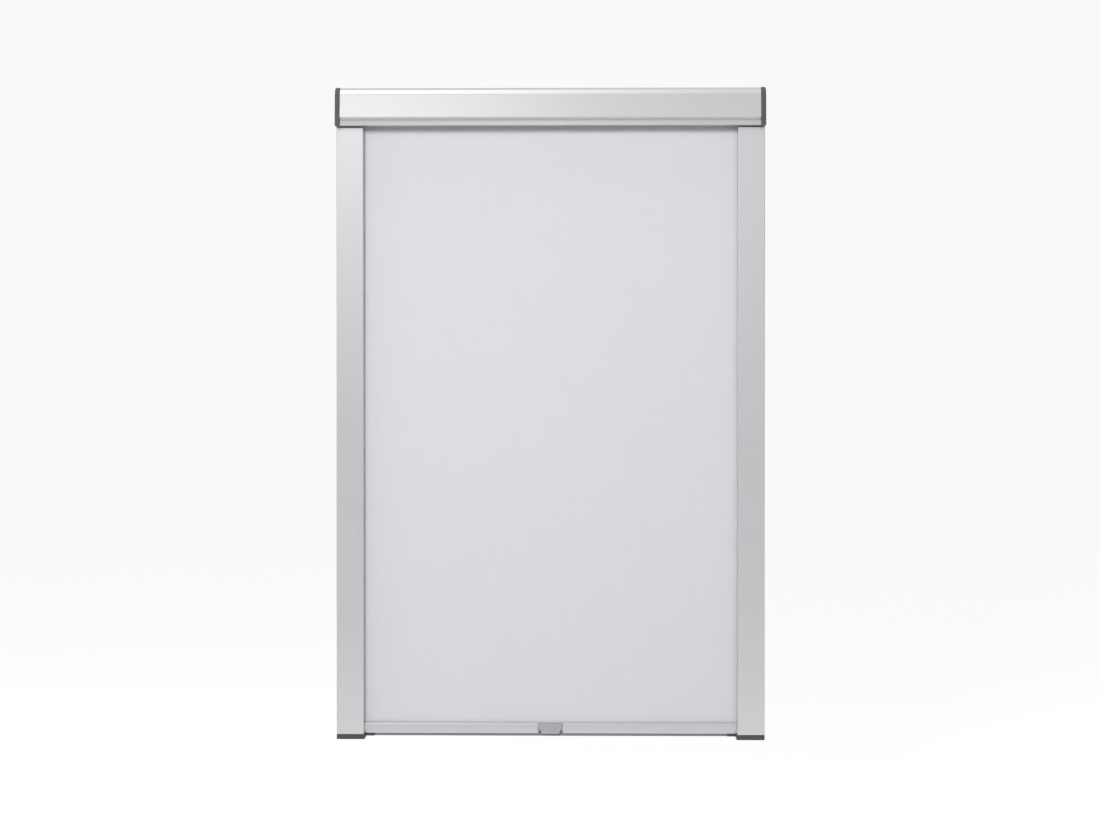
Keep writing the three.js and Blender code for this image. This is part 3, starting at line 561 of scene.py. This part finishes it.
def sheet_mesh(name, points, lengths):
    """A grid of points (row, column, xyz) in metres as one sheet of four-sided faces, with a UV
    map in metres of cloth: u across and v down its length."""
    rows, columns = points.shape[:2]
    number = np.arange(rows * columns).reshape(rows, columns)
    faces = np.stack([number[:-1, :-1], number[1:, :-1], number[1:, 1:], number[:-1, 1:]], -1)
    mesh = bpy.data.meshes.new(name)
    mesh.from_pydata(points.reshape(-1, 3).tolist(), [], faces.reshape(-1, 4).tolist())
    across, down = np.broadcast_arrays(points[:1, :, 0], lengths[:, None])
    spread = np.stack([across.ravel(), -down.ravel()], 1)
    loops = np.empty(len(mesh.loops), int)
    mesh.loops.foreach_get("vertex_index", loops)
    layer = mesh.uv_layers.new(name="cloth_metres")
    layer.data.foreach_set("uv", spread[loops].astype(np.float32).ravel())
    mesh.shade_smooth()
    made = bpy.data.objects.new(name, mesh)
    bpy.context.scene.collection.objects.link(made)
    thick = made.modifiers.new("cloth thickness", "SOLIDIFY")
    thick.thickness = CLOTH_THICKNESS * MM
    thick.offset = 0
    return made


THREAD_SPACING = 0.5
SLUB_WIDTH = 1.5
SLUB_LENGTH = 60.0
BAND_SPACING = 2 * math.pi / 20


def blackout_weave(name, light, dark):
    """Plain weave of 0.5 mm threads under a matt coating: the crossings lift the surface a little,
    and uneven threads draw faint streaks both ways, here 1.5 mm wide so that they just show. A
    Wave texture at scale 1 has a band every 2 pi / 20."""
    sheen = {"Sheen Weight": 0.15, "Sheen Roughness": 0.5}
    made, tree, shader = finish(name, Metallic=0.0, IOR=1.45, Roughness=0.85, **sheen)
    place = node(tree, "ShaderNodeUVMap", uv_map="cloth_metres").outputs[0]
    heights, streaks = [], []
    for direction in ("X", "Y"):
        wave = node(
            tree,
            "ShaderNodeTexWave",
            {"Vector": place, "Scale": BAND_SPACING / THREAD_SPACING / MM, "Distortion": 0.0},
            bands_direction=direction,
        )
        heights.append(wave.outputs["Fac"])
        scale = [1 / SLUB_LENGTH / MM, 1 / SLUB_LENGTH / MM, 1]
        scale["XY".index(direction)] = 1 / SLUB_WIDTH / MM
        run = node(tree, "ShaderNodeMapping", {"Vector": place, "Scale": scale})
        slub = node(
            tree, "ShaderNodeTexNoise", {"Vector": run.outputs[0], "Scale": 1.0, "Detail": 2.0}
        )
        streaks.append(slub.outputs[0])
    weave = node(tree, "ShaderNodeMath", {0: heights[0], 1: heights[1]}, operation="MULTIPLY")
    slubs = node(tree, "ShaderNodeMath", {0: streaks[0], 1: streaks[1]}, operation="ADD")
    tone_at = node(
        tree, "ShaderNodeMapRange", {"Value": slubs.outputs[0], "From Min": 0.7, "From Max": 1.3}
    )
    tone = node(
        tree,
        "ShaderNodeMix",
        {0: tone_at.outputs[0], 6: linear(dark), 7: linear(light)},
        data_type="RGBA",
    )
    lift = node(tree, "ShaderNodeMath", {0: slubs.outputs[0], 1: weave.outputs[0]}, operation="ADD")
    bump = node(
        tree,
        "ShaderNodeBump",
        {"Strength": 0.2, "Distance": 0.03 * MM, "Height": lift.outputs[0]},
    )
    tree.links.new(tone.outputs[2], shader.inputs["Base Color"])
    tree.links.new(bump.outputs[0], shader.inputs["Normal"])
    return made


def roll_points(steps=200, columns=60):
    """The cloth's middle line as a spiral about the roller: its radius grows by one pitch a turn
    and it ends where the panel drops at the back."""
    share = np.linspace(0, 1, steps + 1)
    angle = np.pi - 2 * np.pi * ROLL_TURNS * (1 - share)
    radius = ROLL_INNER + CLOTH_THICKNESS / 2 + ROLL_PITCH * ROLL_TURNS * share
    points = np.empty((len(share), columns, 3))
    points[..., 0] = np.linspace(-CLOTH_EDGE, CLOTH_EDGE, columns)
    points[..., 1] = -(radius * np.cos(angle) + ROLLER_DEPTH)[:, None]
    points[..., 2] = (radius * np.sin(angle) + ROLLER_HEIGHT)[:, None]
    path = np.stack([points[:, 0, 1], points[:, 0, 2]], 1)
    length = np.r_[0, np.cumsum(np.linalg.norm(np.diff(path, axis=0), axis=1))]
    return points * MM, length * MM


blackout_cloth = blackout_weave("woven_blackout_cloth", "DDDCE1", "DAD9DE")
roll_grid, roll_length = roll_points()
roll = sheet_mesh("cloth_roll", roll_grid, roll_length)
roll.data.materials.append(blackout_cloth)
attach(roll, "roller")
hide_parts("fabric_roll")

WAVE = 0.16
WAVE_ACROSS = 61.0
WAVE_DOWN = 143.0
RIPPLE = 0.1
RIPPLE_ACROSS = 29.0
RIPPLE_DOWN = 210.0
FLAT_SIDE = 40.0
FLAT_HEAD = 60.0
FLAT_FOOT = 30.0


def panel_points(rows=340, columns=140):
    """The hanging cloth: flat but for a sine wave across times one down its height, and a finer
    slanting ripple, both under 0.2 mm. Each wave turns by one radian in the length that is named
    for it, and all fade over the last centimetres to the sides, the roll and the bar."""
    across = np.linspace(-CLOTH_EDGE, CLOTH_EDGE, columns)[None, :]
    height = np.linspace(PANEL_TOP, PANEL_FOOT, rows)[:, None]
    waves = WAVE * np.sin(across / WAVE_ACROSS + 0.7) * np.sin(height / WAVE_DOWN + 0.4)
    waves += RIPPLE * np.sin(across / RIPPLE_ACROSS + height / RIPPLE_DOWN + 2.1)
    beside = np.clip((CLOTH_EDGE - np.abs(across)) / FLAT_SIDE, 0, 1)
    below = np.clip((PANEL_TOP - height) / FLAT_HEAD, 0, 1)
    above = np.clip((height - PANEL_FOOT) / FLAT_FOOT, 0, 1)
    depth = CLOTH_DEPTH + waves * beside * (below * above)
    across, height, depth = np.broadcast_arrays(across, height, depth)
    points = np.stack([across, -depth, height], -1)
    return points * MM, (PANEL_TOP - height[:, 0]) * MM


panel_grid, panel_length = panel_points()
panel = sheet_mesh("cloth_panel", panel_grid, panel_length)
panel.data.materials.append(blackout_cloth)
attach(panel, "frame")
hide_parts("fabric_panel")
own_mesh(panel)

pale_keder = grained_plastic(
    "extruded_pale_keder", "D2D2D4", "C6C6C9", 0.5, grain=0.5, relief=0.01
)
for cad_name, piece_name in (
    ("roller_keder", "cloth_keder_top"),
    ("bar_keder", "cloth_keder_foot"),
):
    strip = refined(cad_name, piece_name, rounding=0)
    strip.data.materials.append(pale_keder)


# Side rails
# Lipped aluminium channels with the casing's finish, screwed to the window through three holes in
# the outer wall. The cloth's edges and the bar's shoes run inside them.

satin_upright = satin_aluminium("satin_anodised_aluminium_upright", "Z", "C1C1C3", "B9B9BC", 0.3)
for side in ("left", "right"):
    rail = refined(f"side_rail_{side}", f"guide_rail_{side}", rounding=0.2)
    rail.data.materials.append(satin_upright)


# Rail caps
# Trays moulded in the end caps' dark grey nylon with the same grain, its colour painted darker
# here as shade at the blind's foot. They plug into the rails' feet with two prongs, close them,
# and stop the shoes.

# The end caps' nylon with painted shade: a darker copy of its colour, also used on the hidden
# shoes.
dark_nylon_painted_shade = grained_plastic("moulded_dark_nylon_painted_shade", "444446", "38383A", 0.42)
for side in ("left", "right"):
    tray = refined(f"rail_cap_{side}", f"rail_foot_cap_{side}", rounding=0.3)
    tray.data.materials.append(dark_nylon_painted_shade)


# Pull bar
# A slim hollow extrusion: the cloth's keder sits in the slot above, a sealing strip in the groove
# below, and its front wall is notched in the middle for the grip.

BAR_TOP_ARC = np.array([12.8, -883.3])
BAR_TOP_RADIUS = 2.4
BAR_ARC_FROM = 0.9
BAR_SLIT_FRONT = 9.9
BAR_LIP_RISE = 0.8
BAR_LIP_LEAN = 0.5


def raised_lip(mesh):
    """Turns the round top front corner of the bar into a crisp lip on a leaning edge. A point of
    the arc, beyond 0.9 of its radius, at the share v of its height comes to the share 1 - lean v^2
    of its depth. Then all that stands above the arc's centre rises by the lip's rise, times v,
    times its share of the way from the slit to the front."""
    points = np.empty(3 * len(mesh.vertices))
    mesh.vertices.foreach_get("co", points)
    points = points.reshape(-1, 3)
    place = np.stack([-points[:, 1], points[:, 2]], 1) / MM
    share = np.clip((place - BAR_TOP_ARC) / BAR_TOP_RADIUS, 0, 1)
    on_arc = (share.min(1) > 0) & (np.hypot(*share.T) > BAR_ARC_FROM)
    leaning = 1 - BAR_LIP_LEAN * share[on_arc, 1] ** 2
    place[on_arc, 0] = BAR_TOP_ARC[0] + BAR_TOP_RADIUS * leaning
    slit_to_front = BAR_TOP_ARC[0] + BAR_TOP_RADIUS - BAR_SLIT_FRONT
    ahead = np.clip((place[:, 0] - BAR_SLIT_FRONT) / slit_to_front, 0, 1)
    place[:, 1] += BAR_LIP_RISE * share[:, 1] * ahead
    points[:, 1] = -place[:, 0] * MM
    points[:, 2] = place[:, 1] * MM
    mesh.vertices.foreach_set("co", points.ravel())


bar = refined("bottom_bar", "pull_bar", rounding=0.2)
raised_lip(bar.data)
# The rails' clear anodised aluminium, its colour painted a little darker as shade, since the bar
# stands further back than the rails' faces.
satin_bar_painted_shade = satin_aluminium("satin_anodised_aluminium_bar_painted_shade", "X", "BBB9BC", "B2B0B3", 0.3)
bar.data.materials.append(satin_bar_painted_shade)


# Sealing strip
# A soft grey rubber extrusion, pushed into the groove under the bar. It closes the gap to the
# sash when the blind is down.

BLOOM_PATCH = 6.0


def soft_rubber(name, light, dark, roughness):
    """Extruded rubber: matt, with a slightly dusty bloom in soft patches 6 mm wide."""
    made, tree, shader = finish(name, Metallic=0.0, IOR=1.52)
    place = node(tree, "ShaderNodeTexCoord").outputs["Object"]
    bloom = node(
        tree,
        "ShaderNodeTexNoise",
        {"Vector": place, "Scale": 1 / BLOOM_PATCH / MM, "Detail": 5.0},
    )
    tone = node(
        tree,
        "ShaderNodeMix",
        {0: bloom.outputs[0], 6: linear(dark), 7: linear(light)},
        data_type="RGBA",
    )
    matt = node(
        tree,
        "ShaderNodeMapRange",
        {
            "Value": bloom.outputs[0],
            "From Min": 0.3,
            "From Max": 0.7,
            "To Min": roughness - 0.06,
            "To Max": roughness + 0.06,
        },
    )
    bump = node(
        tree, "ShaderNodeBump", {"Strength": 0.3, "Distance": 0.05 * MM, "Height": bloom.outputs[0]}
    )
    tree.links.new(tone.outputs[2], shader.inputs["Base Color"])
    tree.links.new(matt.outputs[0], shader.inputs["Roughness"])
    tree.links.new(bump.outputs[0], shader.inputs["Normal"])
    return made


seal = refined("bar_seal", "sealing_strip", rounding=0.3)
seal.data.materials.append(soft_rubber("soft_grey_rubber", "8E8C90", "838185", 0.75))


# Slide shoes and their brakes
# Each moulded shoe plugs into the bar's end and runs in a rail. A leaf spring pushes a rubber pad
# against the rail's front wall, which holds the blind at any height.

brake_rubber = soft_rubber("firm_black_rubber", "353537", "2A2A2C", 0.8)
for side in ("left", "right"):
    shoe = refined(f"slide_shoe_{side}", f"bar_shoe_{side}", rounding=0.25)
    shoe.data.materials.append(dark_nylon_painted_shade)
    pad = refined(f"brake_pad_{side}", f"brake_block_{side}", rounding=0.3)
    pad.data.materials.append(brake_rubber)
    leaf = refined(f"brake_spring_{side}", f"brake_leaf_{side}", rounding=0)
    leaf.data.materials.append(spring_steel)


# Grip
# A tapered finger tab moulded in mid grey plastic, clipped through the bar's notch by a root that
# reaches the back of its hollow. Its face sweeps forward to a well rounded lip at the foot.

GRIP_TOP = -881.8
GRIP_FOOT = -896.5
GRIP_TOP_HALF = 17.4
GRIP_FOOT_HALF = 12.5
GRIP_BACK = 13.7
GRIP_FACE = 16.2
GRIP_LIP = 3.2
GRIP_TOP_ROUNDING = 0.35
GRIP_FOOT_ROUNDING = 2.4
GRIP_BACK_CORNER = 0.3
GRIP_FACE_CORNER = 1.0
ROOT_HALF = 12.0
ROOT_BACK = 7.7
ROOT_FRONT = 14.2
ROOT_FOOT = -891.2
ROOT_TOP = -886.6
ROOT_CORNER = 0.3


def grip_rings(steps=40):
    """Level sections from foot to top: each is a rounded oblong whose width tapers with height
    and whose face stands out by the cube of the share of height below it. Towards either end the
    face draws in on a quarter circle, and the sides do so by half as much."""
    share = np.linspace(0, 1, steps + 1)
    share = 0.5 - 0.5 * np.cos(np.pi * share)
    height = GRIP_FOOT + (GRIP_TOP - GRIP_FOOT) * share
    at_foot = 1 - np.clip((height - GRIP_FOOT) / GRIP_FOOT_ROUNDING, 0, 1)
    at_top = 1 - np.clip((GRIP_TOP - height) / GRIP_TOP_ROUNDING, 0, 1)
    draw_in = GRIP_FOOT_ROUNDING * (1 - np.sqrt(1 - at_foot**2))
    draw_in += GRIP_TOP_ROUNDING * (1 - np.sqrt(1 - at_top**2))
    half = GRIP_FOOT_HALF + (GRIP_TOP_HALF - GRIP_FOOT_HALF) * share - draw_in / 2
    face = GRIP_FACE + GRIP_LIP * (1 - share) ** 3 - draw_in
    back = np.full_like(face, GRIP_BACK)
    corner = np.array([[-1, 0], [1, 0], [1, 1], [-1, 1]], float)
    side, front = corner[:, :1], corner[:, 1:]
    arc = np.linspace(0, np.pi / 2, 9)
    turned = np.pi + np.pi / 2 * np.arange(4)[:, None] + arc
    radius = np.where(front > 0, GRIP_FACE_CORNER, GRIP_BACK_CORNER)
    across = half[:, None, None] * side + radius * (np.cos(turned) - side)
    deep = back[:, None, None] + (face - back)[:, None, None] * front
    deep = deep + radius * (np.sin(turned) - (2 * front - 1))
    rings = np.empty((len(height), turned.size, 3))
    rings[..., 0] = across.reshape(len(height), -1)
    rings[..., 1] = -deep.reshape(len(height), -1)
    rings[..., 2] = height[:, None]
    return rings * MM


root_corners = [
    [ROOT_BACK, ROOT_FOOT, ROOT_CORNER],
    [ROOT_FRONT, ROOT_FOOT, ROOT_CORNER],
    [ROOT_FRONT, ROOT_TOP, ROOT_CORNER],
    [ROOT_BACK, ROOT_TOP, ROOT_CORNER],
]
root = along_x(rounded(root_corners), (-ROOT_HALF, ROOT_HALF))
grip = skinned("finger_grip", grip_rings(), root)
grip.data.materials.append(
    grained_plastic("moulded_mid_grey_plastic", "B0ADB2", "A5A2A7", 0.45, grain=0.4)
)
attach(grip, "bar")
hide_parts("grip")


# Studio
# A pale floor below the hung blind, in a white surround, with lengths in metres. The key lamp in
# front and the fill lamp behind leave no highlight on metal: white panels in front, above and on
# the left draw its sheen. A long lens looks almost squarely at the blind.

FLOOR_HEIGHT = -1.25
FLOOR_REACH = 60.0
FLOOR_GLOW = 0.687
SURROUND_LIGHT = 0.31
SURROUND_SEEN = 0.95


def seen_directly(tree):
    """1 for camera, glossy and transmission rays, 0 for the rays that light the object."""
    rays = node(tree, "ShaderNodeLightPath").outputs
    mirror = node(
        tree,
        "ShaderNodeMath",
        {0: rays["Is Camera Ray"], 1: rays["Is Glossy Ray"]},
        operation="MAXIMUM",
    )
    return node(
        tree,
        "ShaderNodeMath",
        {0: mirror.outputs[0], 1: rays["Is Transmission Ray"]},
        operation="MAXIMUM",
    ).outputs[0]


surround = bpy.data.worlds.new("white surround")
bpy.context.scene.world = surround
surround.use_nodes = True
sky_tree = surround.node_tree
sky_tree.nodes.clear()
strength = node(
    sky_tree,
    "ShaderNodeMapRange",
    {"Value": seen_directly(sky_tree), "To Min": SURROUND_LIGHT, "To Max": SURROUND_SEEN},
)
white = node(
    sky_tree, "ShaderNodeBackground", {"Color": (1, 1, 1, 1), "Strength": strength.outputs[0]}
)
node(sky_tree, "ShaderNodeOutputWorld", {"Surface": white.outputs[0]})

pale_floor = bpy.data.materials.new("pale studio floor")
pale_floor.use_nodes = True
floor_tree = pale_floor.node_tree
floor_tree.nodes.clear()
paint = node(floor_tree, "ShaderNodeBsdfDiffuse", {"Color": linear("EDEDED")})
glow_at = node(
    floor_tree,
    "ShaderNodeMath",
    {0: seen_directly(floor_tree), 1: FLOOR_GLOW},
    operation="MULTIPLY",
)
glow = node(floor_tree, "ShaderNodeEmission", {"Strength": glow_at.outputs[0]})
lit = node(floor_tree, "ShaderNodeAddShader", {0: paint.outputs[0], 1: glow.outputs[0]})
node(floor_tree, "ShaderNodeOutputMaterial", {"Surface": lit.outputs[0]})

floor_mesh = bpy.data.meshes.new("studio_floor")
floor_corners = [(-1, -1), (1, -1), (1, 1), (-1, 1)]
floor_mesh.from_pydata(
    [(x * FLOOR_REACH, y * FLOOR_REACH, FLOOR_HEIGHT) for x, y in floor_corners],
    [],
    [(0, 1, 2, 3)],
)
floor = bpy.data.objects.new("studio_floor", floor_mesh)
floor_mesh.materials.append(pale_floor)
bpy.context.scene.collection.objects.link(floor)


def soft_lamp(name, place, aim, size, power, in_sheen=True):
    """An oblong area lamp of the given width and height in metres, turned to face a point. One
    that isn't in the sheen lights the cloth and leaves no highlight on metal."""
    lamp = bpy.data.lights.new(name, "AREA")
    lamp.shape = "RECTANGLE"
    lamp.size, lamp.size_y = size
    lamp.energy = power
    made = bpy.data.objects.new(name, lamp)
    made.location = place
    made.visible_glossy = in_sheen
    way = np.array(aim, float) - np.array(place, float)
    level = math.hypot(way[0], way[1])
    made.rotation_euler = (math.atan2(level, -way[2]), 0, math.atan2(-way[0], way[1]))
    bpy.context.scene.collection.objects.link(made)
    return made


# Each lamp has its place, the point that it faces, its width and height, and its watts.
soft_lamp("key lamp", (-0.36, -2.5, 0.39), (0, 0, -0.4), (0.3, 0.4), 34, in_sheen=False)
soft_lamp("white panel on the left", (-0.6, -2.5, 0.7), (0, 0, -0.1), (1.0, 0.8), 3.5)
soft_lamp("white panel on the right", (0.5, -2.5, 0.78), (0, 0, -0.1), (0.9, 0.7), 0.45)
soft_lamp("white panel behind the camera", (-0.35, -4.0, 0.21), (0, 0, 0), (2.2, 0.7), 3.5)
soft_lamp("white panel above on the left", (-0.58, -0.66, 1.9), (-0.13, 0, 0), (1.7, 0.5), 4.0)
soft_lamp("white ceiling panel", (0.1, -0.15, 1.9), (0.1, -0.15, 0), (2.8, 1.9), 5.2)
soft_lamp("white panel far on the left", (-3.0, -0.6, 0.3), (0, 0, -0.2), (1.6, 1.6), 11)
fill = soft_lamp(
    "fill lamp behind", (0.25, 2.8, -0.3), (0, 0, -0.45), (1.0, 0.6), 7, in_sheen=False
)
fill.data.spread = math.radians(70)

# The camera stands 3.6 m away, a little to the right, and is turned down and to the left by these
# degrees. Its lens is in millimetres, for a sensor 36 mm wide.
CAMERA_PLACE = (0.0668, -3.6, -0.3981)
CAMERA_DOWN = 0.583
CAMERA_LEFT = 1.079
CAMERA_LENS = 81.89

camera = bpy.data.objects.new("camera", bpy.data.cameras.new("camera"))
camera.data.lens = CAMERA_LENS
camera.data.sensor_width = 36
camera.data.clip_end = 200
camera.location = CAMERA_PLACE
camera.rotation_euler = (math.radians(90 - CAMERA_DOWN), 0, math.radians(CAMERA_LEFT))
bpy.context.scene.collection.objects.link(camera)
bpy.context.scene.camera = camera
bpy.context.scene.view_settings.view_transform = "Standard"
